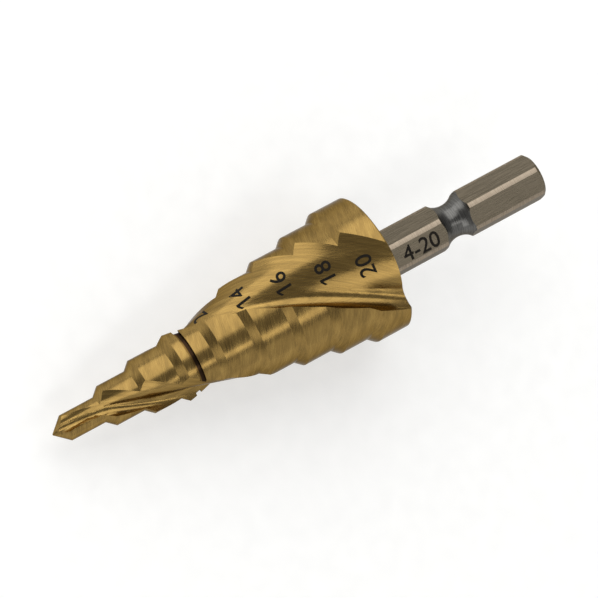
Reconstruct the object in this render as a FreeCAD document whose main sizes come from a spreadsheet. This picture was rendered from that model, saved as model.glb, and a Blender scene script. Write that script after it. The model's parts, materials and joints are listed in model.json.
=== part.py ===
import FreeCAD, Part
import os
import Sketcher
from FreeCAD import Vector, Rotation, Placement

# Step drill with nine steps from 4 to 20 mm, two right-hand flutes and a quick-change hex shank.
# The drill is drawn upright in its own frame: the point is at z = 0 and the shank runs up from it.
# The body's Placement then lays it on its side, resting on the corners of its lands.

doc = FreeCAD.newDocument("StepDrill")
dims = doc.addObject("Spreadsheet::Sheet", "dims")

sizes = [
    # steps
    ("tipRadius", 1.9, "radius of the first land, ground a little small"),
    ("pointAngle", 84.0, "included angle of the point"),
    ("chiselHalf", 0.1, "radius of the blunt tip between the two lips"),
    ("secondRadius", 3.0, "radius of the second land"),
    ("stepRise", 1.0, "radius gained at each step after it"),
    ("riserRun", 1.1, "axial length of the slope between two lands"),
    ("firstFront", 8.3, "front corner of the second land, from the point"),
    ("landPitch", 5.35, "distance from one front corner to the next"),
    ("rearLand", 4.65, "length of the last land"),
    ("rimBevel", 0.3, "bevel on the rear rim"),
    ("landRelief", 0.12, "how far each half of the last land is turned off centre"),
    ("buriedRun", 0.6, "length of a slope that stays inside the land before it"),
    # depth ring
    ("ringPlace", 20.65, "middle of the ring groove, from the point"),
    ("ringWidth", 0.85, "width of the ring groove"),
    ("ringDepth", 0.42, "depth of the ring groove"),
    # flutes
    ("helixAngle", 30.4, "helix angle of the flutes at the rear face, in degrees"),
    ("helixEase", 0.116, "how much slower they turn toward the point"),
    ("rearTurn", 53.7, "where the cutting edge leaves the rear face, in degrees"),
    ("gashEnd", 7.6, "end of the nearly straight flute behind the point"),
    ("gashTwist", 2.3, "twist of that straight part, in degrees for each mm"),
    ("webAtTip", 0.55, "flute floor from the axis at the point"),
    ("webTaper", 0.09, "growth of that distance for each mm"),
    ("webCurve", 0.00103, "growth of that taper"),
    ("hookRadius", 0.45, "hollow at the foot of the cutting face, smallest"),
    ("hookGrowth", 0.17, "growth of that hollow with the drill's radius"),
    ("heelRound", 0.6, "roundness of the back of the flute, against the drill's radius"),
    ("heelReach", 1.235, "reach of the back of the flute, against the drill's radius"),
    ("heelDip", 0.14, "how much lower that reach is a third of the way along the body"),
    ("cutterLead", 1.5, "run of the flute past both ends"),
    ("cutterMargin", 2.5, "reach of the flute's cut outside the drill"),
    # shank
    ("hexFlats", 6.35, "across the flats"),
    ("hexCorner", 3.48, "radius to which the hex corners are turned"),
    ("hexTurn", -10.1, "angle of one hex corner, in degrees"),
    ("shankLength", 26.6, "from the rear face to the end"),
    ("endBevel", 0.5, "bevel at the end of the shank"),
    ("lockPlace", 14.1, "middle of the latch groove, from the end of the shank"),
    ("lockRun", 3.0, "half-length of the ellipse that hollows the latch groove"),
    ("lockRise", 2.8, "half-height of that ellipse"),
    ("lockCore", 2.45, "smallest radius in the latch groove"),
    ("shankRoot", 2.0, "length of the hex that is sunk in the body"),
    # resting pose
    ("restTilt", 6.38, "slope of the axis as it lies, in degrees"),
    ("restRoll", 176.9, "turn about the axis as it lies, in degrees"),
]

row = 1
for alias, size, note in sizes:
    dims.set("A%d" % row, note)
    dims.set("B%d" % row, str(size))
    dims.setAlias("B%d" % row, alias)
    row += 1


def derived(alias, formula):
    # A size that follows from the others.
    global row
    dims.set("A%d" % row, alias)
    dims.set("B%d" % row, "=" + formula)
    dims.setAlias("B%d" % row, alias)
    row += 1


landCount = 9
ringLand = 3
sectionCount = 14

# Lands: front corner and radius of each, counted from the point.
derived("front0", "(tipRadius - chiselHalf) / tan(pointAngle / 2 * 1deg)")
derived("radius0", "tipRadius")
for k in range(1, landCount):
    derived("front%d" % k, "firstFront + %d * landPitch" % (k - 1))
    derived("radius%d" % k, "secondRadius + %d * stepRise" % (k - 1))
last = landCount - 1
derived("bodyLength", "front%d + rearLand" % last)
derived("totalLength", "bodyLength + shankLength")

# The cone that the front corners lie on, and the turn of the cutting edge along it.
derived("coneSlope", "(radius%d - radius1) / (front%d - firstFront)" % (last, last))
derived("coneRear", "radius%d + coneSlope * rearLand" % last)
derived("twistRate", "tan(helixAngle * 1deg) / coneSlope * 180 / pi")


def steadyTurn(place):
    # Angle of the cutting edge at a distance from the point, on a helix that follows the cone.
    growth = "log(coneRear / (radius1 + coneSlope * (%s - firstFront)))" % place
    return "(rearTurn - twistRate * {0} * (1 - helixEase * {0}))".format(growth)


derived("turnGash", steadyTurn("gashEnd"))


def turnFormula(place):
    # The same angle, with the straighter start behind the point.
    straight = "(turnGash - gashTwist * (gashEnd - %s))" % place
    return "%s < gashEnd ? %s : %s" % (place, straight, steadyTurn(place))


for k in range(landCount):
    derived("relief%d" % k, "landRelief * radius%d / radius%d" % (k, last))
    place = "0" if k == 0 else "(front%d - riserRun)" % k
    derived("landTurn%d" % k, turnFormula(place))

for i in range(sectionCount):
    share = "%d * (bodyLength + 2 * cutterLead) / %d" % (i, sectionCount - 1)
    derived("cutPlace%d" % i, share + " - cutterLead")
    derived("cutCone%d" % i, "radius1 + coneSlope * (cutPlace%d - firstFront)" % i)
    derived("cutTurn%d" % i, turnFormula("cutPlace%d" % i))
    derived("cutFloor%d" % i, "webAtTip + cutPlace{0} * (webTaper + webCurve * cutPlace{0})".format(i))
    derived("cutHook%d" % i, "hookRadius + hookGrowth * cutCone%d" % i)
    ahead = "(1 - cutPlace%d / bodyLength)" % i
    derived("cutReach%d" % i, "heelReach - heelDip * 6.75 * {0} * {0} * (1 - {0})".format(ahead))
    back = "(cutReach{0} - (sqrt(2) - 1) * heelRound) * cutCone{0}".format(i)
    derived("cutFlat%d" % i, "%s - cutFloor%d" % (back, i))

doc.recompute()

body = doc.addObject("PartDesign::Body", "step_drill")
body.Label = "step_drill"


def value(formula):
    # The present value of a formula in the sheet, for the first drawing of a sketch.
    return float(dims.evalExpression(formula))


def tied(formula):
    # The same formula with each size named in the sheet.
    words, word = [], ""
    for letter in formula + " ":
        if letter.isalnum():
            word += letter
            continue
        known = word and not word[0].isdigit() and word not in ("sqrt", "tan", "pow")
        words.append(("dims." + word) if known else word)
        words.append(letter)
        word = ""
    return "".join(words).strip()


def drive(sketch, name, kind, parts, formula):
    # A size in the sketch that follows a formula.
    index = sketch.addConstraint(Sketcher.Constraint(kind, *parts, value(formula)))
    sketch.renameConstraint(index, name)
    sketch.setExpression("Constraints." + name, tied(formula))


def originItem(role):
    for item in body.Origin.OriginFeatures:
        if item.Role == role:
            return item


def sketchAt(name, plane, place=None, turn=None):
    # An empty sketch on one of the body's planes, moved along its normal and turned about it.
    sketch = body.newObject("Sketcher::SketchObject", name)
    sketch.AttachmentSupport = (originItem(plane), [""])
    sketch.MapMode = "FlatFace"
    sketch.AttachmentOffset = Placement(Vector(0, 0, 0), Rotation(Vector(0, 0, 1), 10 if turn else 0))
    if place:
        sketch.setExpression(".AttachmentOffset.Base.z", tied(place))
    if turn:
        sketch.setExpression(".AttachmentOffset.Rotation.Angle", "%s * 1deg" % tied(turn))
    return sketch


def lensSketch(name, k, place, shrink):
    # Section of a land: two arcs turned off centre, which meet at the two cutting edges.
    sketch = sketchAt(name, "XY_Plane", place, "landTurn%d" % k)
    arcRadius = "sqrt(pow(radius{0}; 2) + pow(relief{0}; 2)) - {1}".format(k, shrink)
    arc, off = value(arcRadius), value("relief%d" % k)
    half = (arc * arc - off * off) ** 0.5
    for side in (1, -1):
        start, middle, end = [Vector(x, y, 0) for x, y in (
            (side * half, 0), (0, side * (arc - off)), (-side * half, 0))]
        sketch.addGeometry(Part.Arc(start, middle, end), False)
    sketch.addConstraint([
        Sketcher.Constraint("Coincident", 0, 2, 1, 1),
        Sketcher.Constraint("Coincident", 1, 2, 0, 1),
        Sketcher.Constraint("PointOnObject", 0, 1, -1),
        Sketcher.Constraint("PointOnObject", 0, 2, -1),
        Sketcher.Constraint("PointOnObject", 0, 3, -2),
    ])
    drive(sketch, "arcRadius", "Radius", (0,), arcRadius)
    drive(sketch, "below", "DistanceY", (0, 3, -1, 1), "relief%d" % k)
    drive(sketch, "above", "DistanceY", (-1, 1, 1, 3), "relief%d" % k)
    return sketch


def makeLand(k):
    # The slope up to a land, then the land itself as far as the next front corner.
    front = "front%d" % k if k else "0"
    if k:
        foot = "%s - riserRun - buriedRun" % front
        shrink = "stepRise * (1 + buriedRun / riserRun)"
        slope = body.newObject("PartDesign::AdditiveLoft", "slope%d" % k)
        slope.Profile = lensSketch("foot%d" % k, k, foot, shrink)
        slope.Sections = [lensSketch("rim%d" % k, k, front, "0")]
        slope.Ruled = True
        body.Tip = slope
    land = body.newObject("PartDesign::Pad", "land%d" % k)
    land.Profile = lensSketch("outline%d" % k, k, front, "0")
    following = "bodyLength" if k == last else "front%d" % (k + 1)
    land.setExpression("Length", tied("%s - %s" % (following, front)))


def groove(name, sketch):
    # Cuts what the sketch sweeps round the axis.
    cut = body.newObject("PartDesign::Groove", name)
    cut.Profile = sketch
    cut.ReferenceAxis = (sketch, ["V_Axis"])
    cut.Angle = 360


def revolvedCut(name, corners):
    # Cuts a ring whose outline is given as corners in the plane of the axis, x outward and y along it.
    sketch = sketchAt(name + "Outline", "XZ_Plane")
    spots = [Vector(value(across), value(along), 0) for across, along in corners]
    count = len(spots)
    for i in range(count):
        sketch.addGeometry(Part.LineSegment(spots[i], spots[(i + 1) % count]), False)
    for i in range(count):
        sketch.addConstraint(Sketcher.Constraint("Coincident", i, 2, (i + 1) % count, 1))
    for i, (across, along) in enumerate(corners):
        drive(sketch, "across%d" % i, "DistanceX", (-1, 1, i, 1), across)
        if along == "0":
            sketch.addConstraint(Sketcher.Constraint("PointOnObject", i, 1, -1))
        else:
            drive(sketch, "along%d" % i, "DistanceY", (-1, 1, i, 1), along)
    groove(name, sketch)


def latchGroove(name, middle):
    # The hollow that the latch of a quick-change holder snaps into: an ellipse swept round the shank.
    sketch = sketchAt(name + "Outline", "XZ_Plane")
    across = "lockCore + lockRise"
    centre = Vector(value(across), value(middle), 0)
    run, rise = Vector(0, value("lockRun"), 0), Vector(value("lockRise"), 0, 0)
    sketch.addGeometry(Part.Ellipse(centre + run, centre + rise, centre), False)
    sketch.addGeometry(Part.LineSegment(centre - run, centre + run), True)
    sketch.addGeometry(Part.LineSegment(centre - rise, centre + rise), True)
    sketch.addConstraint(Sketcher.Constraint("InternalAlignment:EllipseMajorDiameter", 1, 0))
    sketch.addConstraint(Sketcher.Constraint("InternalAlignment:EllipseMinorDiameter", 2, 0))
    sketch.addConstraint(Sketcher.Constraint("Vertical", 1))
    drive(sketch, "across", "DistanceX", (-1, 1, 0, 3), across)
    drive(sketch, "along", "DistanceY", (-1, 1, 0, 3), middle)
    drive(sketch, "run", "Distance", (1,), "2 * lockRun")
    drive(sketch, "rise", "Distance", (2,), "2 * lockRise")
    groove(name, sketch)


def fluteSection(i):
    # Cutting face, hollow of two narrow strips at its foot, floor, rounded back, and closing lines
    # outside the drill.
    sketch = sketchAt("fluteSection%d" % i, "XY_Plane", "cutPlace%d" % i, "cutTurn%d" % i)
    cone, floor, hook, flat = ["cut%s%d" % (part, i) for part in ("Cone", "Floor", "Hook", "Flat")]
    bend = "heelRound * %s" % cone
    sink = "(1 - sqrt(0.5))"
    reach = "sqrt(0.5) * (0.4 * %s + cutterMargin)" % cone
    outer = "%s + cutterMargin" % cone
    footAcross = "%s - %s * %s" % (floor, sink, bend)
    footDown = "%s + sqrt(0.5) * %s" % (flat, bend)
    # Corners of the section: across from the axis, and down from the cutting face.
    corners = [
        (outer, "0"),
        ("%s + %s" % (floor, hook), "0"),
        ("%s + %s * %s" % (floor, sink, hook), "%s * %s" % (sink, hook)),
        (floor, hook),
        (floor, flat),
        (footAcross, footDown),
        ("%s - %s" % (footAcross, reach), "%s + %s" % (footDown, reach)),
        (outer, "%s + %s" % (footDown, reach)),
    ]
    spots = [Vector(value(across), -value(down), 0) for across, down in corners]
    count = len(spots)
    back = 4
    spoke = Vector(value(bend), 0, 0)
    middle = spots[back] - spoke + Rotation(Vector(0, 0, 1), -22.5).multVec(spoke)
    for j in range(count):
        start, end = spots[j], spots[(j + 1) % count]
        if j == back:
            sketch.addGeometry(Part.Arc(end, middle, start), False)
        else:
            sketch.addGeometry(Part.LineSegment(start, end), False)
    # An arc is drawn anticlockwise, so each of its ends is found by where it lies.
    drawn = [(made.StartPoint, made.EndPoint) for made in sketch.Geometry]

    def endAt(line, spot):
        first, second = drawn[line]
        return 1 if (first - spot).Length < (second - spot).Length else 2

    for j in range(count):
        after = (j + 1) % count
        joint = spots[after]
        pair = (j, endAt(j, joint), after, endAt(after, joint))
        sketch.addConstraint(Sketcher.Constraint("Coincident", *pair))
    for j, (across, down) in enumerate(corners):
        line = j - 1 if j == back else j
        end = endAt(line, spots[j])
        drive(sketch, "across%d" % j, "DistanceX", (-1, 1, line, end), across)
        if down == "0":
            sketch.addConstraint(Sketcher.Constraint("PointOnObject", line, end, -1))
        else:
            drive(sketch, "down%d" % j, "DistanceY", (line, end, -1, 1), down)
    drive(sketch, "bend", "Radius", (back,), bend)
    return sketch


def hexSketch():
    # A hexagon with its corners on a circle, one corner on the sketch's own x axis.
    sketch = sketchAt("hexOutline", "XY_Plane", "bodyLength - shankRoot", "hexTurn")
    radius = "hexFlats / sqrt(3)"
    size = value(radius)
    corners = [Rotation(Vector(0, 0, 1), 60 * i).multVec(Vector(size, 0, 0)) for i in range(6)]
    for i in range(6):
        sketch.addGeometry(Part.LineSegment(corners[i], corners[(i + 1) % 6]), False)
    guide = sketch.addGeometry(Part.Circle(Vector(0, 0, 0), Vector(0, 0, 1), size), True)
    for i in range(6):
        sketch.addConstraint(Sketcher.Constraint("Coincident", i, 2, (i + 1) % 6, 1))
        sketch.addConstraint(Sketcher.Constraint("PointOnObject", i, 1, guide))
        if i:
            sketch.addConstraint(Sketcher.Constraint("Equal", 0, i))
    sketch.addConstraint(Sketcher.Constraint("Coincident", guide, 3, -1, 1))
    sketch.addConstraint(Sketcher.Constraint("PointOnObject", 0, 1, -1))
    drive(sketch, "cornerRadius", "Radius", (guide,), radius)
    return sketch


# Nine relieved lands with the slopes between them
for k in range(landCount):
    makeLand(k)
doc.recompute()

# Cone of the point, bevel on the rear rim, and ring groove on the middle of the drill
revolvedCut("point", [
    ("chiselHalf", "0"),
    ("2 * tipRadius", "0"),
    ("2 * tipRadius", "(2 * tipRadius - chiselHalf) / (tipRadius - chiselHalf) * front0"),
])
revolvedCut("rearBevel", [
    ("radius%d - rimBevel" % last, "bodyLength"),
    ("radius%d + rimBevel" % last, "bodyLength - 2 * rimBevel"),
    ("radius%d + rimBevel" % last, "bodyLength"),
])
ringRadius = "radius%d" % ringLand
revolvedCut("ringGroove", [
    (ringRadius + " - ringDepth", "ringPlace - ringWidth / 2"),
    (ringRadius + " + ringDepth", "ringPlace - ringWidth / 2"),
    (ringRadius + " + ringDepth", "ringPlace + ringWidth / 2"),
    (ringRadius + " - ringDepth", "ringPlace + ringWidth / 2"),
])
doc.recompute()

# Two helical flutes, half a turn apart
sections = [fluteSection(i) for i in range(sectionCount)]
doc.recompute()
flute = body.newObject("PartDesign::SubtractiveLoft", "flute")
flute.Profile = sections[0]
flute.Sections = sections[1:]
flute.Ruled = False
doc.recompute()
flutes = body.newObject("PartDesign::PolarPattern", "flutes")
flutes.Originals = [flute]
flutes.Axis = (originItem("Z_Axis"), [""])
flutes.Angle = 360
flutes.Occurrences = 2
body.Tip = flutes
doc.recompute()

# Hex shank, with its corners turned, its end bevelled and a latch groove round it
shank = body.newObject("PartDesign::Pad", "shank")
shank.Profile = hexSketch()
shank.setExpression("Length", tied("shankLength + shankRoot"))
doc.recompute()
revolvedCut("shankTurning", [
    ("hexCorner", "bodyLength"),
    ("hexFlats", "bodyLength"),
    ("hexFlats", "totalLength + endBevel"),
    ("hexCorner - 2 * endBevel", "totalLength + endBevel"),
    ("hexCorner", "totalLength - endBevel"),
])
latchGroove("latchGroove", "totalLength - lockPlace")
doc.recompute()

# Laid on its side: the axis runs along X with the point lower than the shank
lying = Rotation(Vector(0, 1, 0), 90 - value("restTilt"))
rolled = Rotation(Vector(0, 0, 1), value("restRoll"))
turned = lying.multiply(rolled)
drill = body.Shape.copy()
drill.Placement = Placement(Vector(0, 0, 0), turned)
box = drill.optimalBoundingBox()
body.Placement = Placement(Vector(-box.Center.x, -box.Center.y, -box.ZMin), turned)
doc.recompute()

for item in doc.Objects:
    if "Invalid" in item.State or "Error" in item.State:
        raise RuntimeError("%s did not compute" % item.Name)
if body.Shape.isNull() or not body.Shape.isValid():
    raise RuntimeError("the drill is not a valid solid")

os.makedirs("parts", exist_ok=True)
body.Shape.exportStep("parts/step_drill.step")
print("solids %d, volume %.1f cubic mm" % (len(body.Shape.Solids), body.Shape.Volume))
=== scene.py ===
import bpy, bmesh, json, math
from mathutils import Matrix, Vector
from mathutils.bvhtree import BVHTree


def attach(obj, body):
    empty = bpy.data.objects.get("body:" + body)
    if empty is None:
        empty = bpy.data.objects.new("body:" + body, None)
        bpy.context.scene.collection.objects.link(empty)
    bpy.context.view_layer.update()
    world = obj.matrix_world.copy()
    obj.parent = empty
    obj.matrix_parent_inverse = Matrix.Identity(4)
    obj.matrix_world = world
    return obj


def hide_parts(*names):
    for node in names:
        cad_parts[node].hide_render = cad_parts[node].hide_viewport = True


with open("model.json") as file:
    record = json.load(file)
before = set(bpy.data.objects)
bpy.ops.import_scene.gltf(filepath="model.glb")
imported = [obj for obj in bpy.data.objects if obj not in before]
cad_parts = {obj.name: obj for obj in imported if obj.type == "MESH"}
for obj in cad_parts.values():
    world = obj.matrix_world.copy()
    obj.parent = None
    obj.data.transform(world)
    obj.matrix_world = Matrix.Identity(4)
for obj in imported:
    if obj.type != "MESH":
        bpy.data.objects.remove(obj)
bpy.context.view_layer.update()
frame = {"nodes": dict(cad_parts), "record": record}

scene = bpy.context.scene
mm = 0.001

# The drill's own sizes, the same as in the CAD. Places along it are measured from the point.
drill = {
    "bodyLength": 50.4 * mm,
    "totalLength": 77.0 * mm,
    "roll": 176.9,             # turn about its own axis, as it lies
    "secondRadius": 3.0 * mm,
    "firstFront": 8.3 * mm,    # where the second land starts
    "landPitch": 5.35 * mm,
    "stepRise": 1.0 * mm,
    "ringPlace": 20.65 * mm,
    "ringWidth": 0.85 * mm,
    "latchPlace": 14.1 * mm,   # from the end of the shank
}
coneSlope = drill["stepRise"] / drill["landPitch"]


def coneRadius(along):
    return drill["secondRadius"] + coneSlope * (along - drill["firstFront"])


def placed(right, up, back, place):
    # A turn and a place, from three directions and an origin
    return Matrix([(right[i], up[i], back[i], place[i]) for i in range(3)] + [(0, 0, 0, 1)])


# How it lies: the axis comes from the shank's mount, which is at its end
shankEnd = next(mount for mount in frame["record"]["mounts"] if mount["name"] == "shank_end")
axis = Vector(shankEnd["axis"]).normalized()
pointPlace = Vector(shankEnd["pos_m"]) - axis * drill["totalLength"]
side = Vector((0, 1, 0))
down = side.cross(axis)
roll = math.radians(drill["roll"])
lying = placed(down * math.cos(roll) + side * math.sin(roll),
               side * math.cos(roll) - down * math.sin(roll), axis, pointPlace)
standing = lying.inverted()


def colour(hexValue):
    # sRGB hex to linear
    parts = [int(hexValue[i:i + 2], 16) / 255 for i in (1, 3, 5)]
    return [p / 12.92 if p <= 0.04045 else ((p + 0.055) / 1.055) ** 2.4 for p in parts] + [1]


def addNode(tree, kind, settings=None, links=None):
    node = tree.nodes.new(kind)
    for name, value in (settings or {}).items():
        if name == "stops":
            elements = node.color_ramp.elements
            while len(elements) < len(value):
                elements.new(0.5)
            for element, (place, hexValue) in zip(elements, value):
                element.position = place
                element.color = colour(hexValue)
        elif isinstance(name, int) or name in node.inputs:
            node.inputs[name].default_value = value
        else:
            setattr(node, name, value)
    for name, source in (links or {}).items():
        tree.links.new(source, node.inputs[name])
    return node


def newMaterial(name):
    material = bpy.data.materials.new(name)
    material.use_nodes = True
    tree = material.node_tree
    tree.nodes.clear()
    shader = addNode(tree, "ShaderNodeBsdfPrincipled")
    addNode(tree, "ShaderNodeOutputMaterial", {}, {"Surface": shader.outputs[0]})
    return material, tree, shader


def drillCoordinates(tree):
    # Object coordinates stood upright: the angle about the drill's axis, then mm along it and out from it
    place = addNode(tree, "ShaderNodeTexCoord").outputs["Object"]
    parts = []
    for row in list(standing)[:3]:
        weights = [part / mm for part in row[:3]]
        dot = addNode(tree, "ShaderNodeVectorMath", {"operation": "DOT_PRODUCT", 1: weights}, {0: place})
        shifted = addNode(tree, "ShaderNodeMath", {"operation": "ADD", 1: row[3] / mm},
                          {0: dot.outputs["Value"]})
        parts.append(shifted.outputs[0])
    angle = addNode(tree, "ShaderNodeMath", {"operation": "ARCTAN2"}, {0: parts[1], 1: parts[0]})
    flat = addNode(tree, "ShaderNodeCombineXYZ", {}, {0: parts[0], 1: parts[1]})
    radius = addNode(tree, "ShaderNodeVectorMath", {"operation": "LENGTH"}, {0: flat.outputs[0]})
    return angle.outputs[0], parts[2], radius.outputs["Value"]


def unrolled(tree, angle, along, radius):
    # The surface laid flat, in mm round the drill, along it and outward
    around = addNode(tree, "ShaderNodeMath", {"operation": "MULTIPLY"}, {0: angle, 1: radius})
    flat = addNode(tree, "ShaderNodeCombineXYZ", {}, {0: around.outputs[0], 1: along, 2: radius})
    return flat.outputs[0]


def wheelMarks(tree, flat, ways):
    # Noise drawn out into lines. Each way through it has its steps per mm round, along and outward.
    steps = {}
    for i, way in enumerate(ways):
        dot = addNode(tree, "ShaderNodeVectorMath", {"operation": "DOT_PRODUCT", 1: way}, {0: flat})
        steps[i] = dot.outputs["Value"]
    spot = addNode(tree, "ShaderNodeCombineXYZ", {}, steps)
    noise = addNode(tree, "ShaderNodeTexNoise", {"Scale": 1.0, "Detail": 3.0, "Roughness": 0.6},
                    {"Vector": spot.outputs[0]})
    return noise.outputs["Fac"]


# What all the steels share: a breath of oil pales the highlights, and a graze darkens the metal
steelLook = {"oil": 0.15, "oilRoughness": 0.3, "graze": (0.45, 0.42, 0.38, 1), "bumpStrength": 0.5,
             "markLow": 0.3, "markHigh": 0.7}


def finishSteel(made, tint, marks, look):
    material, tree, shader = made
    rough = addNode(tree, "ShaderNodeMapRange",
                    {"From Min": steelLook["markLow"], "From Max": steelLook["markHigh"],
                     "To Min": look["roughLow"], "To Max": look["roughHigh"]}, {"Value": marks})
    raised = addNode(tree, "ShaderNodeBump",
                     {"Strength": steelLook["bumpStrength"], "Distance": look["bump"] * mm},
                     {"Height": marks})
    shader.inputs["Metallic"].default_value = 1.0
    shader.inputs["Coat Weight"].default_value = steelLook["oil"]
    shader.inputs["Coat Roughness"].default_value = steelLook["oilRoughness"]
    shader.inputs["Specular Tint"].default_value = steelLook["graze"]
    tree.links.new(tint, shader.inputs["Base Color"])
    tree.links.new(rough.outputs[0], shader.inputs["Roughness"])
    tree.links.new(raised.outputs[0], shader.inputs["Normal"])
    return material


# Titanium nitride on ground high-speed steel: a gold, slightly brown metal with fine wheel marks
coatLook = {
    "colours": [(0.36, "#776034"), (0.5, "#8A6F3C"), (0.64, "#9A7E46")],
    # the groove's ramp: painted shade for its shaded wall and floor, with a paler painted light strip on the
    # wall toward the point
    "paintedGrooveShade": [(0.06, "#43310F"), (0.16, "#6C5429"), (0.32, "#654C22"),
              (0.42, "#2C1B09"), (0.85, "#241506"), (1.0, "#3E2B12")],
    "paintedGrooveShadeMiddle": 0.42,       # the ring's middle on that ramp, before the unevenness
    "paintedGrooveShadeUneven": 0.15,
    "landLine": 0.14,          # mm between the wheel marks that show, coarser than the real 0.03 mm
    "landSlant": 0.3,
    "fluteLine": 0.2,
    "fluteSlant": 0.9,
    "fluteHelix": 27.5,
    "fineShare": 0.45,         # of the fine marks in the colour, beside the broad ones
    "roughLow": 0.18, "roughHigh": 0.3,
    "bump": 0.01,
}


def helixAngle(tree, angle, along):
    # The angle less the flute's own turn, so that it stays the same along the flute
    cone = addNode(tree, "ShaderNodeMath", {"operation": "MULTIPLY_ADD", 1: coneSlope, 2: coneRadius(0) / mm},
                   {0: along})
    growth = addNode(tree, "ShaderNodeMath", {"operation": "LOGARITHM", 1: math.e}, {0: cone.outputs[0]})
    rate = math.tan(math.radians(coatLook["fluteHelix"])) / coneSlope
    less = addNode(tree, "ShaderNodeMath", {"operation": "MULTIPLY_ADD", 1: -rate},
                   {0: growth.outputs[0], 2: angle})
    return less.outputs[0]


def coatedSteel(name, finish):
    made = newMaterial(name)
    tree = made[1]
    angle, along, radius = drillCoordinates(tree)
    if finish == "flute":
        # the wheel's marks cross the flute at a slant, seen as faint diagonal lines
        flat = unrolled(tree, helixAngle(tree, angle, along), along, radius)
        line, slant = coatLook["fluteLine"], coatLook["fluteSlant"]
        marks = wheelMarks(tree, flat, [(0.5, 0, 0), (slant / line, 1 / line, 0), (0, 0, 0.5)])
        broad = wheelMarks(tree, flat, [(0, 0.12, 0), (0.8, 0, 0), (0, 0, 0.4)])
    else:
        # the wheel's marks run round the drill, a little aslant
        flat = unrolled(tree, angle, along, radius)
        line, slant = coatLook["landLine"], coatLook["landSlant"]
        marks = wheelMarks(tree, flat, [(0.5, 0, 0), (slant / line, 1 / line, 0), (0, 0, 1)])
        broad = wheelMarks(tree, flat, [(0.25, 0, 0), (slant * 0.8, 0.8, 0), (0, 0, 1)])
    # sockets 2 and 3 are the two numbers that it mixes
    mixed = addNode(tree, "ShaderNodeMix", {"Factor": coatLook["fineShare"]}, {2: broad, 3: marks}).outputs[0]
    stops = coatLook["colours"]
    if finish == "groove":
        # painted shade darkens the groove's wall and floor, with a paler painted light strip along the wall
        # toward the point
        shift = coatLook["paintedGrooveShadeMiddle"] - drill["ringPlace"] / drill["ringWidth"]
        fromPoint = addNode(tree, "ShaderNodeMath",
                            {"operation": "MULTIPLY_ADD", 1: mm / drill["ringWidth"], 2: shift}, {0: along})
        mixed = addNode(tree, "ShaderNodeMath", {"operation": "MULTIPLY_ADD", 1: coatLook["paintedGrooveShadeUneven"]},
                        {0: mixed, 2: fromPoint.outputs[0]}).outputs[0]
        stops = coatLook["paintedGrooveShade"]
    tint = addNode(tree, "ShaderNodeValToRGB", {"stops": stops}, {"Fac": mixed})
    return finishSteel(made, tint.outputs["Color"], marks, coatLook)


# Bare high-speed steel: a brownish grey metal, its lines along the ground flats and round the turned parts
bareLook = {
    "line": 0.12,              # mm between the lines that show, coarser than the real ones
    "roughLow": 0.22, "roughHigh": 0.36,
    "bump": 0.008,
}


def bareSteel(name, turned, dark, light):
    made = newMaterial(name)
    tree = made[1]
    flat = unrolled(tree, *drillCoordinates(tree))
    fine = 1 / bareLook["line"]
    if turned:
        marks = wheelMarks(tree, flat, [(0.3, 0, 0), (0, fine, 0), (0, 0, 1)])
    else:
        marks = wheelMarks(tree, flat, [(0, 0.3, 0), (fine, 0, 0), (0, 0, 1)])
    tint = addNode(tree, "ShaderNodeValToRGB", {"stops": [(0.3, dark), (0.7, light)]}, {"Fac": marks})
    return finishSteel(made, tint.outputs["Color"], marks, bareLook)


def selectOnly(piece):
    bpy.ops.object.select_all(action="DESELECT")
    piece.select_set(True)
    bpy.context.view_layer.objects.active = piece


# The ground body and shank: the CAD solid's own surface, merged, sharp where two cuts meet
surface = {"mergeAt": 0.0005 * mm, "smoothUnder": 20.5}     # degrees between two faces
# the material of each kind of face, by its place in makeDrill
finishes = {"land": 0, "slope": 0, "rear": 0, "flute": 1, "ring": 2, "ringFloor": 2,
            "flat": 3, "end": 3, "latch": 4, "corner": 5}
# How a face is told: radii and reaches, and how far its normal points along the axis or away from it
cuts = {
    "shankStart": 50 * mm, "shankRadius": 3.6 * mm, "rearLeast": 0.9,
    "latchReach": 2.6 * mm, "latchRadius": 3.44 * mm, "latchWaist": 3.0 * mm, "latchSlope": 0.03,
    "endLeast": 0.3,
    "hexTurn": 10.1, "hexSlack": 0.5,
    "ringReach": 0.53, "ringLeast": 4.3 * mm, "ringMost": 4.75 * mm, "ringWall": 0.98, "ringOutward": 0.99,
    "rear": 0.6,
    "level": 0.01, "landOutward": 0.985,
    "slopeFrom": -0.75, "slopeTo": -0.6, "slopeOutward": 0.64,
}


def shankKind(spot, facing, radius):
    fromEnd = drill["totalLength"] - spot.z
    if abs(fromEnd - drill["latchPlace"]) < cuts["latchReach"] and radius < cuts["latchRadius"]:
        if abs(facing.z) > cuts["latchSlope"] or radius < cuts["latchWaist"]:
            return "latch"
    if facing.z > cuts["endLeast"]:
        return "end"
    sixth = 60
    turn = (math.degrees(math.atan2(facing.y, facing.x)) + cuts["hexTurn"] - sixth / 2) % sixth
    offFlat = abs(turn - sixth * round(turn / sixth))
    return "flat" if offFlat < cuts["hexSlack"] and abs(facing.z) < cuts["level"] else "corner"


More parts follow.
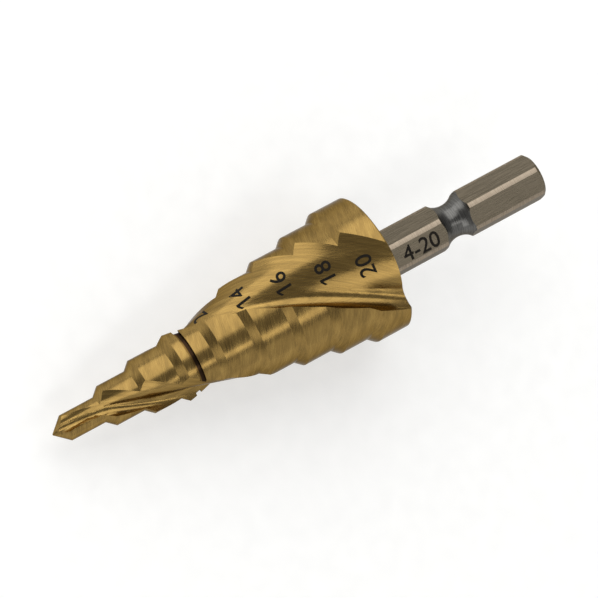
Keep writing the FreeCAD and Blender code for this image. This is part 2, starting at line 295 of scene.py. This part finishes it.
def faceKind(spot, facing):
    # Which cut a face belongs to, by its place and by the way it faces
    radius = math.hypot(spot.x, spot.y)
    outward = (facing.x * spot.x + facing.y * spot.y) / max(radius, 1e-6)      # the point lies on the axis
    neck = facing.z < cuts["rearLeast"] and radius < cuts["shankRadius"] and spot.z > cuts["shankStart"]
    if neck or spot.z > drill["bodyLength"] + surface["mergeAt"]:
        return shankKind(spot, facing, radius)
    fromRing = abs(spot.z - drill["ringPlace"]) / drill["ringWidth"]
    if fromRing < cuts["ringReach"] and radius > cuts["ringLeast"]:
        if abs(facing.z) > cuts["ringWall"]:
            return "ring"
        if radius < cuts["ringMost"] and outward > cuts["ringOutward"]:
            return "ringFloor"
    if facing.z > cuts["rear"]:
        return "rear"
    if abs(facing.z) < cuts["level"] and outward > cuts["landOutward"]:
        return "land"
    if cuts["slopeFrom"] < facing.z < cuts["slopeTo"] and outward > cuts["slopeOutward"]:
        return "slope"
    return "flute"


# The flute's section, measured from the cutting edge: across from the axis, and down from the cutting face
flute = {
    "coneRear": 10.869 * mm, "helixAngle": 30.4, "helixEase": 0.116, "rearTurn": 53.7,
    "gashEnd": 7.6 * mm, "gashTwist": 2.3,     # degrees in each mm of the straighter stretch at the point
    "webAtTip": 0.55, "webTaper": 0.09, "webCurve": 0.00103,
    "hookRadius": 0.45 * mm, "hookGrowth": 0.17,
    "newPoints": 4,                            # in each edge of the hollow
    "slack": 0.04 * mm, "keptEnds": 0.02 * mm, "insideArc": 0.9, "outsideArc": 1.03,
}


def steadyTurn(along):
    growth = math.log(flute["coneRear"] / coneRadius(along))
    rate = math.degrees(math.tan(math.radians(flute["helixAngle"]))) / coneSlope
    return flute["rearTurn"] - rate * growth * (1 - flute["helixEase"] * growth)


def edgeTurn(along):
    # Angle of the cutting edge, in degrees
    if along < flute["gashEnd"]:
        return steadyTurn(flute["gashEnd"]) - flute["gashTwist"] * (flute["gashEnd"] - along) / mm
    return steadyTurn(along)


def hollowAt(vert, half):
    # The point's place in the flute's section, and the middle and radius of the hollow there
    spot = standing @ vert.co
    along = spot.z / mm
    edge = Matrix.Rotation(-math.radians(edgeTurn(spot.z) + half), 3, "Z") @ spot
    floorPlace = (flute["webAtTip"] + along * (flute["webTaper"] + flute["webCurve"] * along)) * mm
    radius = flute["hookRadius"] + flute["hookGrowth"] * coneRadius(spot.z)
    return Vector((edge.x, -edge.y)), Vector((floorPlace + radius, radius)), radius, spot.z


def inHollow(vert, half):
    place, centre, radius, along = hollowAt(vert, half)
    away = (place - centre).length
    slack = flute["slack"]
    inside = place.x < centre.x + slack and -slack < place.y < centre.y + slack
    return inside and radius * flute["insideArc"] < away < radius * flute["outsideArc"]


def roundHollows(mesh):
    # The hollow at the foot of each cutting face, cut finer and laid on its arc
    for half in (0, 180):
        faces = [face for face in mesh.faces if all(inHollow(vert, half) for vert in face.verts)]
        chosen = set(faces)
        edges = [edge for edge in mesh.edges if any(face in chosen for face in edge.link_faces)]
        before = len(mesh.faces)
        bmesh.ops.subdivide_edges(mesh, edges=edges, cuts=flute["newPoints"], use_grid_fill=True)
        bmesh.ops.triangulate(mesh, faces=[face for face in mesh.faces if len(face.verts) > 3])
        moved = 0
        for vert in mesh.verts:
            if not inHollow(vert, half) or any(edge.is_boundary for edge in vert.link_edges):
                continue
            place, centre, radius, along = hollowAt(vert, half)
            if min(abs(place.x - centre.x), abs(place.y - centre.y)) < flute["keptEnds"]:
                continue
            rounded = centre + (place - centre).normalized() * radius
            turn = Matrix.Rotation(math.radians(edgeTurn(along) + half), 3, "Z")
            vert.co = lying @ (turn @ Vector((rounded.x, -rounded.y, along)))
            moved += 1
        print("hollow:", len(faces), "faces cut to", len(mesh.faces) - before, "more,", moved, "points moved")


def makeDrill():
    piece = bpy.data.objects.new("ground_drill", frame["nodes"]["step_drill"].data.copy())
    scene.collection.objects.link(piece)
    selectOnly(piece)
    piece.data.materials.clear()
    # gold lands with round marks, gold flutes with slanting ones and a ring darkened by painted shade,
    # then brownish flats, a bluish grey latch groove and pale corners, their paleness a painted highlight
    for material in (coatedSteel("titaniumNitrideGroundLand", "land"),
                     coatedSteel("titaniumNitrideGroundFlute", "flute"),
                     coatedSteel("titaniumNitrideGroovePaintedShade", "groove"),
                     bareSteel("groundHexSteel", False, "#524B3E", "#6B6253"),
                     bareSteel("turnedLatchSteel", True, "#4C4B49", "#6B6A67"),
                     # the corners' paler colour is a painted highlight, where the turned corners catch the
                     # light
                     bareSteel("turnedCornerSteelPaintedHighlight", True, "#7C7061", "#9A8D7C")):
        piece.data.materials.append(material)
    mesh = bmesh.new()
    mesh.from_mesh(piece.data)
    bmesh.ops.remove_doubles(mesh, verts=mesh.verts, dist=surface["mergeAt"])
    roundHollows(mesh)
    mesh.normal_update()
    turn = standing.to_3x3()
    kinds = {}
    for face in mesh.faces:
        face.smooth = True
        kinds[face] = faceKind(standing @ face.calc_center_median(), turn @ face.normal)
        face.material_index = finishes[kinds[face]]
    limit = math.radians(surface["smoothUnder"])
    for edge in mesh.edges:
        sides = edge.link_faces
        sameCut = len(sides) == 2 and kinds[sides[0]] == kinds[sides[1]]
        edge.smooth = sameCut and edge.calc_face_angle(0) < limit
    counts = {kind: list(kinds.values()).count(kind) for kind in finishes}
    mesh.to_mesh(piece.data)
    mesh.free()
    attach(piece, "root")
    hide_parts("step_drill")
    print("drill surface:", counts)
    return piece


drillPiece = makeDrill()

# Floor: matt white paper, which gives an even pale ground with the drill's soft shadow on it
floorLook = {
    "size": 3.0, "colour": "#C2C2C0", "grain": "#C8C8C6", "roughness": 0.9,
    "grainScale": 400.0,       # fibres of about 2.5 mm, coarser than the real ones
    "lift": 0.47,
}


def makeFloor():
    bpy.ops.object.select_all(action="DESELECT")
    bpy.ops.mesh.primitive_plane_add(size=floorLook["size"], location=(0, 0, 0))
    floor = bpy.context.active_object
    floor.name = "floor"
    material, tree, shader = newMaterial("palePaper")
    shader.inputs["Roughness"].default_value = floorLook["roughness"]
    shader.inputs["Emission Color"].default_value = (1, 1, 1, 1)
    place = addNode(tree, "ShaderNodeTexCoord")
    grain = addNode(tree, "ShaderNodeTexNoise", {"Scale": floorLook["grainScale"], "Detail": 2.0},
                    {"Vector": place.outputs["Object"]})
    stops = [(0.3, floorLook["colour"]), (0.7, floorLook["grain"])]
    tint = addNode(tree, "ShaderNodeValToRGB", {"stops": stops}, {"Fac": grain.outputs["Fac"]})
    tree.links.new(tint.outputs["Color"], shader.inputs["Base Color"])
    # the paper is lifted to white where it is looked at, straight or in the metal; its shadow stays
    rays = addNode(tree, "ShaderNodeLightPath").outputs
    seen = rays["Is Camera Ray"]
    for other in ("Is Glossy Ray", "Is Transmission Ray"):
        seen = addNode(tree, "ShaderNodeMath", {"operation": "ADD"}, {0: seen, 1: rays[other]}).outputs[0]
    lift = addNode(tree, "ShaderNodeMath", {"operation": "MULTIPLY", 1: floorLook["lift"]}, {0: seen})
    tree.links.new(lift.outputs[0], shader.inputs["Emission Strength"])
    floor.data.materials.append(material)
    print("floor:", floorLook["size"], "m wide")


makeFloor()

# Camera: found from the photograph, 400 mm from the rear face and 17.3 degrees ahead of square to the axis
view = {
    "distance": 400 * mm, "lean": 17.3, "tilt": 28.3193, "sensor": 36.0, "clipStart": 0.01,
    "focal": 2920.0, "pixels": 598, "middle": 299,     # in pixels of the photograph
    "centre": (-82.7, -2.8),                           # its middle from the rear face's, along and across
}


def placeCamera():
    lean = math.radians(view["lean"])
    forward = Vector((-math.cos(lean), 0, math.sin(lean)))
    alongImage = Vector((math.sin(lean), 0, math.cos(lean)))
    acrossImage = Vector((0, 1, 0))
    place = Vector((0, 0, drill["bodyLength"])) - forward * view["distance"]
    swing = math.atan2(view["centre"][0], view["focal"])
    looking = forward * math.cos(swing) + alongImage * math.sin(swing)
    alongImage = alongImage * math.cos(swing) - forward * math.sin(swing)
    looking = (looking + acrossImage * (view["centre"][1] / view["focal"])).normalized()
    acrossImage = (acrossImage - looking * acrossImage.dot(looking)).normalized()
    tilt = math.radians(view["tilt"])
    right = alongImage * math.cos(tilt) + acrossImage * math.sin(tilt)
    up = alongImage * math.sin(tilt) - acrossImage * math.cos(tilt)
    camera = bpy.data.cameras.new("photoCamera")
    camera.lens = view["focal"] * view["sensor"] / view["pixels"]
    camera.sensor_width = view["sensor"]
    camera.clip_start = view["clipStart"]
    holder = bpy.data.objects.new("photoCamera", camera)
    turn = lying.to_3x3()
    spot = lying @ place
    holder.matrix_world = placed(turn @ right, turn @ up, turn @ -looking, spot)
    scene.collection.objects.link(holder)
    scene.camera = holder
    print("camera height above floor:", round(spot.z / mm), "mm")
    return holder


cameraHolder = placeCamera()

# Step numbers, burnt black into the back of the flute, and the range on the shank
numberLook = {
    "film": 0.03 * mm, "sunk": 0.005 * mm,
    "black": "#0F0C08", "worn": "#1E180F", "roughness": 0.8, "shine": 0.2,
    "wornScale": 6000.0,       # specks of about 0.17 mm
    "digit": 0.64,             # a digit's height in the type's own size
    "bolder": 0.03, "mitre": 0.5,
    "flagOut": 0.24, "flagDown": 0.17, "flagThick": 0.13,      # the flag of a 1, in its heights
    "square": 0.3, "snap": 0.002, "above": 5,                  # mm
    "lookAround": 8,           # pixels round the middle, where the steel's facing is taken
    "lookTurns": 24, "near": 2.5 * mm,
}
numbers = [
    # text, place in the photograph along and across the axis, height in mm, which way its top points
    ("2", (28.0, -34.5), 2.0, "tip"),          # what is left of 12, whose 1 is ground away
    ("14", (73.0, -33.0), 2.05, "tip"),
    ("16", (115.5, -26.0), 2.05, "tip"),
    ("18", (159.5, -14.0), 2.05, "tip"),
    ("20", (198.5, -1.0), 2.05, "tip"),
    ("4-20", (256.0, 9.0), 2.05, "side"),
]
numbered = (finishes["flute"], finishes["flat"])
# pixel of the ring's middle, and the directions along and across the drill in the photograph
photoAxis = {"ring": (192.258, 360.525), "along": (0.88032, -0.47438), "across": (0.47438, 0.88032)}


def blackMark():
    # Oxide left by a laser: a dull brown-black that takes no highlight
    material, tree, shader = newMaterial("laserBlackenedMark")
    place = addNode(tree, "ShaderNodeTexCoord")
    grain = addNode(tree, "ShaderNodeTexNoise", {"Scale": numberLook["wornScale"], "Detail": 3.0},
                    {"Vector": place.outputs["Object"]})
    stops = [(0.35, numberLook["black"]), (0.75, numberLook["worn"])]
    tint = addNode(tree, "ShaderNodeValToRGB", {"stops": stops}, {"Fac": grain.outputs["Fac"]})
    tree.links.new(tint.outputs["Color"], shader.inputs["Base Color"])
    shader.inputs["Roughness"].default_value = numberLook["roughness"]
    shader.inputs["Specular IOR Level"].default_value = numberLook["shine"]
    return material


def photoRay(along, across):
    # The camera's ray through a place in the photograph
    x = photoAxis["ring"][0] + along * photoAxis["along"][0] + across * photoAxis["across"][0]
    y = photoAxis["ring"][1] + along * photoAxis["along"][1] + across * photoAxis["across"][1]
    toward = Vector((x - view["middle"], view["middle"] - y, -view["focal"])).normalized()
    return cameraHolder.matrix_world.translation, cameraHolder.matrix_world.to_3x3() @ toward


def flagOnes(mesh):
    # The type's 1 is a bare bar, the drill's has a short flag at its top
    waiting = list(mesh.verts)
    while waiting:
        loop = [waiting.pop()]
        for vert in loop:
            for other in [edge.other_vert(vert) for edge in vert.link_edges]:
                if other in waiting:
                    waiting.remove(other)
                    loop.append(other)
        left, right = min(vert.co.x for vert in loop), max(vert.co.x for vert in loop)
        low, high = min(vert.co.y for vert in loop), max(vert.co.y for vert in loop)
        tall = high - low
        if len(loop) != 4 or tall < 3 * (right - left):     # no upright bar
            continue
        top = min(loop, key=lambda vert: (vert.co - Vector((left, high, 0))).length)
        foot = min(loop, key=lambda vert: (vert.co - Vector((left, low, 0))).length)
        out, fall, thick = [numberLook[name] * tall for name in ("flagOut", "flagDown", "flagThick")]
        chain = [top]
        for x, y in ((left - out, high - fall), (left - out, high - fall - thick), (left, high - thick)):
            chain.append(mesh.verts.new((x, y, 0)))
        mesh.edges.remove(mesh.edges.get((top, foot)))
        for first, second in zip(chain, chain[1:] + [foot]):
            mesh.edges.new((first, second))


def bolden(mesh, by):
    # Moves the outline of flat type outward; the type's own offset closes the hole of a 4
    mesh.normal_update()
    outward = {}
    for edge in mesh.edges:
        if len(edge.link_loops) != 1:
            continue
        loop = edge.link_loops[0]
        away = (loop.link_loop_next.vert.co - loop.vert.co).cross(loop.face.normal).normalized()
        for vert in edge.verts:
            outward.setdefault(vert, []).append(away)
    for vert, ways in outward.items():
        if len(ways) == 2:
            vert.co += by * (ways[0] + ways[1]) / max(numberLook["mitre"], 1 + ways[0].dot(ways[1]))


def flatNumber(mesh):
    # The outline is filled anew, since the type's own filling has faces without area in a 4
    inner = [edge for edge in mesh.edges if len(edge.link_faces) != 1]
    bmesh.ops.delete(mesh, geom=mesh.faces[:], context="FACES_ONLY")
    bmesh.ops.delete(mesh, geom=inner, context="EDGES")
    flagOnes(mesh)
    bmesh.ops.triangle_fill(mesh, edges=mesh.edges[:], use_beauty=True, use_dissolve=False)
    bolden(mesh, numberLook["bolder"])
    # cut into small squares, so that it can follow the curved steel
    for way in (Vector((1, 0, 0)), Vector((0, 1, 0))):
        places = [vert.co.dot(way) for vert in mesh.verts]
        cut = min(places) + numberLook["square"]
        while cut < max(places):
            everything = mesh.verts[:] + mesh.edges[:] + mesh.faces[:]
            bmesh.ops.bisect_plane(mesh, geom=everything, dist=numberLook["snap"],
                                   plane_co=way * cut, plane_no=way)
            cut += numberLook["square"]
    bmesh.ops.triangulate(mesh, faces=mesh.faces)


def steelFacing(spot, middle, tree, kinds):
    # The steel's mean direction round a number, from rays through the photograph
    facing = Vector((0, 0, 0))
    for i in range(numberLook["lookTurns"]):
        turn = 2 * math.pi * i / numberLook["lookTurns"]
        origin, toward = photoRay(spot[0] + numberLook["lookAround"] * math.cos(turn),
                                  spot[1] + numberLook["lookAround"] * math.sin(turn))
        hit, normal, index, distance = tree.ray_cast(origin, toward)
        if hit and (hit - middle).length < numberLook["near"] and kinds[index] in numbered:
            facing += normal
    return facing.normalized()


def makeNumber(text, spot, height, top, material, tree, kinds):
    origin, toward = photoRay(*spot)
    middle, normal, index, distance = tree.ray_cast(origin, toward)
    facing = steelFacing(spot, middle, tree, kinds)
    upward = -axis if top == "tip" else -(lying.to_3x3() @ Vector((0, 1, 0)))
    upward = (upward - facing * upward.dot(facing)).normalized()
    reading = upward.cross(facing)
    bpy.ops.object.select_all(action="DESELECT")
    bpy.ops.object.text_add()
    piece = bpy.context.active_object
    piece.name = "mark_" + text.replace("-", "_to_")
    piece.data.body = text
    # drawn a thousand times too large, where the type's small openings stay open
    piece.data.size = height / numberLook["digit"]
    piece.data.align_x, piece.data.align_y = "CENTER", "CENTER"
    bpy.ops.object.convert(target="MESH")
    piece.data.validate()
    mesh = bmesh.new()
    mesh.from_mesh(piece.data)
    flatNumber(mesh)
    astray = []
    for vert in mesh.verts:
        over = middle + (reading * vert.co.x + upward * vert.co.y + facing * numberLook["above"]) * mm
        place, normal, index, distance = tree.ray_cast(over, -facing)
        if place is None or kinds[index] not in numbered:
            astray.append(vert)
        else:
            vert.co = place - facing * numberLook["sunk"]
    bmesh.ops.delete(mesh, geom=astray, context="VERTS")
    bmesh.ops.recalc_face_normals(mesh, faces=mesh.faces)
    if sum(face.normal.dot(facing) for face in mesh.faces) < 0:
        bmesh.ops.reverse_faces(mesh, faces=mesh.faces)
    mesh.to_mesh(piece.data)
    mesh.free()
    film = piece.modifiers.new("film", "SOLIDIFY")
    film.thickness = numberLook["film"]
    film.offset = 1
    selectOnly(piece)
    bpy.ops.object.modifier_apply(modifier="film")
    piece.data.materials.clear()
    piece.data.materials.append(material)
    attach(piece, "root")
    print("number", text, len(piece.data.polygons), "faces")


def makeNumbers():
    polygons = drillPiece.data.polygons
    tree = BVHTree.FromPolygons([vert.co.copy() for vert in drillPiece.data.vertices],
                                [list(face.vertices) for face in polygons])
    kinds = [face.material_index for face in polygons]
    material = blackMark()
    for text, spot, height, top in numbers:
        makeNumber(text, spot, height, top, material, tree, kinds)


makeNumbers()

# Studio light: each lamp stands where the drill's own reflections in the photograph put it
lamps = [
    # name, turn about the axis from the camera's side, lean toward the shank, width, length, brightness
    ("wideSoftbox", -43.0, 22.0, 0.72, 0.62, 1.75),
    ("wideSoftboxFoot", -58.0, -24.0, 0.46, 0.5, 1.75),
    ("narrowSoftbox", 33.5, 22.0, 0.12, 0.62, 2.3),
    ("lowSoftbox", 55.0, -14.0, 0.46, 0.28, 1.5),
    ("sideBounce", 80.0, 14.0, 0.6, 0.9, 0.5),
    ("backBounce", -92.0, 10.0, 0.4, 1.0, 0.5),
    ("lowCard", 30.0, -66.0, 0.26, 0.14, 1.2),
]
studio = {
    "lampDistance": 0.6,
    "aim": 0.7,                # body lengths from the point
    "world": "#FFFFFF", "worldStrength": 0.3,
}


def placeLamps():
    aim = lying @ Vector((0, 0, drill["bodyLength"] * studio["aim"]))
    for name, around, lean, width, length, brightness in lamps:
        phi, beta = math.radians(around), math.radians(lean)
        toLamp = Vector((math.cos(beta) * math.cos(phi), math.cos(beta) * math.sin(phi), math.sin(beta)))
        back = (lying.to_3x3() @ toLamp).normalized()
        long = (axis - back * axis.dot(back)).normalized()
        light = bpy.data.lights.new(name, "AREA")
        light.shape = "RECTANGLE"
        light.size, light.size_y = width, length
        light.energy = math.pi * width * length * brightness
        lamp = bpy.data.objects.new(name, light)
        lamp.matrix_world = placed(long.cross(back), long, back, aim + back * studio["lampDistance"])
        scene.collection.objects.link(lamp)
    print("lamps:", len(lamps))


placeLamps()
# a weak white world, so that the far side isn't black
world = bpy.data.worlds.new("studio")
scene.world = world
world.use_nodes = True
background = world.node_tree.nodes["Background"]
background.inputs["Color"].default_value = colour(studio["world"])
background.inputs["Strength"].default_value = studio["worldStrength"]
scene.view_settings.view_transform = "Standard"

print("finished")
